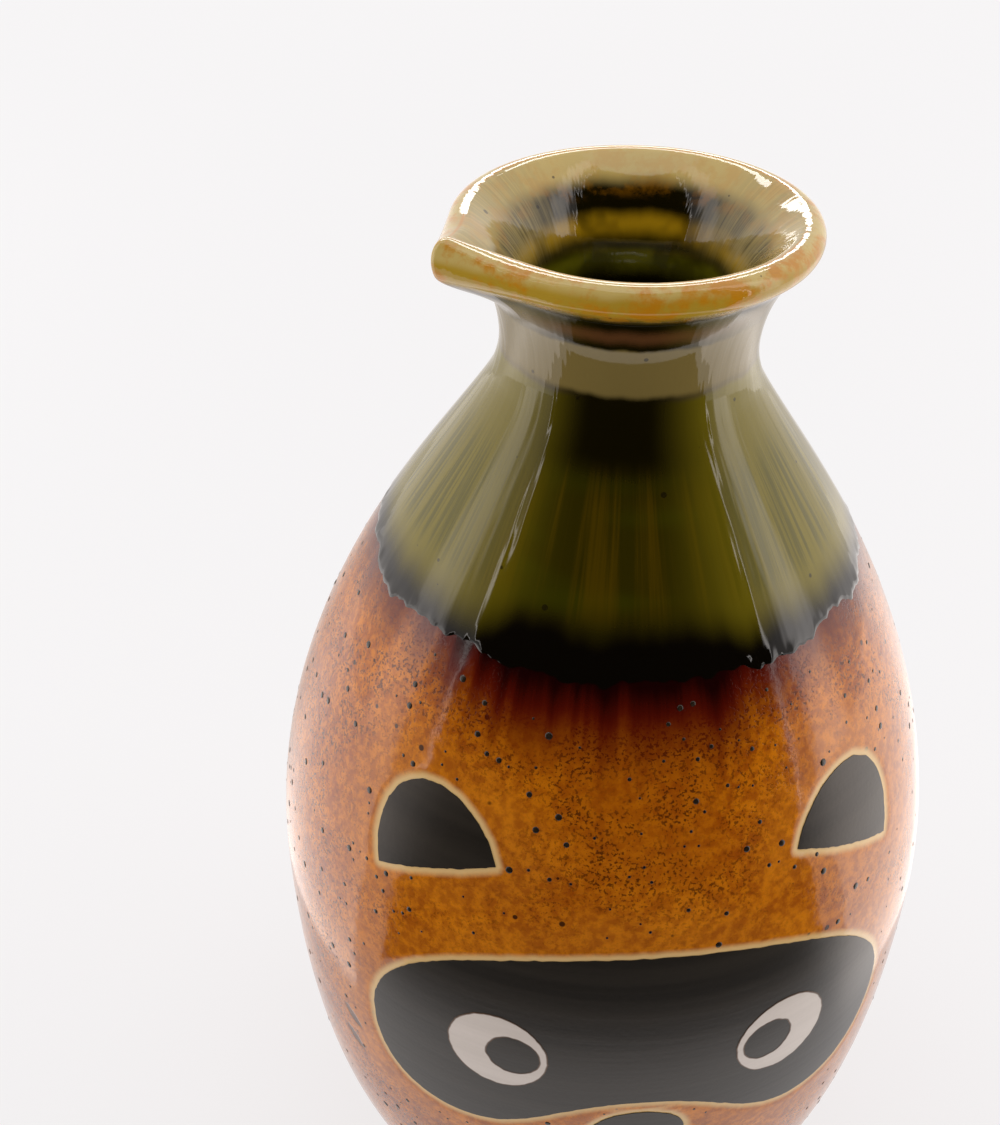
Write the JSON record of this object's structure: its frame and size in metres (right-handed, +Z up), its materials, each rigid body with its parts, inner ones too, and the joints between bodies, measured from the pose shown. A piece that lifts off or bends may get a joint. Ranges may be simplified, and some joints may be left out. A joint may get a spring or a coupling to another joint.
{
  "type": "sake bottle",
  "caption": "Round-bellied stoneware sake bottle with a slim neck, a rolled lip pinched into a pouring spout, and a masked animal face in black and white slip under two glazes.",
  "frame": {"origin": "centre of the foot, in the plane the bottle stands on", "axes": "+Z up along the bottle's axis; the face looks to -Y, and the spout points to -X, turned 22.5 degrees towards the face"},
  "size_m": [0.085, 0.085, 0.147],
  "materials": {
    "bare_stoneware": "matte, unglazed, fine grit",
    "amber_glaze": "gloss, peppered with iron specks",
    "green_glaze": "gloss, pooled dark at its edge, thin and pale on the lip",
    "lining_glaze": "gloss",
    "black_slip": "satin, faint turning lines",
    "white_slip": "satin"
  },
  "bodies": {
    "root": {"stoneware_body": "bare_stoneware", "amber_glaze": "amber_glaze", "green_glaze": "green_glaze", "lining_glaze": "lining_glaze", "black_mask": "black_slip", "black_nose": "black_slip", "black_ear_left": "black_slip", "black_ear_right": "black_slip", "white_eye_left": "white_slip", "white_eye_right": "white_slip", "black_pupil_left": "black_slip", "black_pupil_right": "black_slip"}
  },
  "joints": []
}
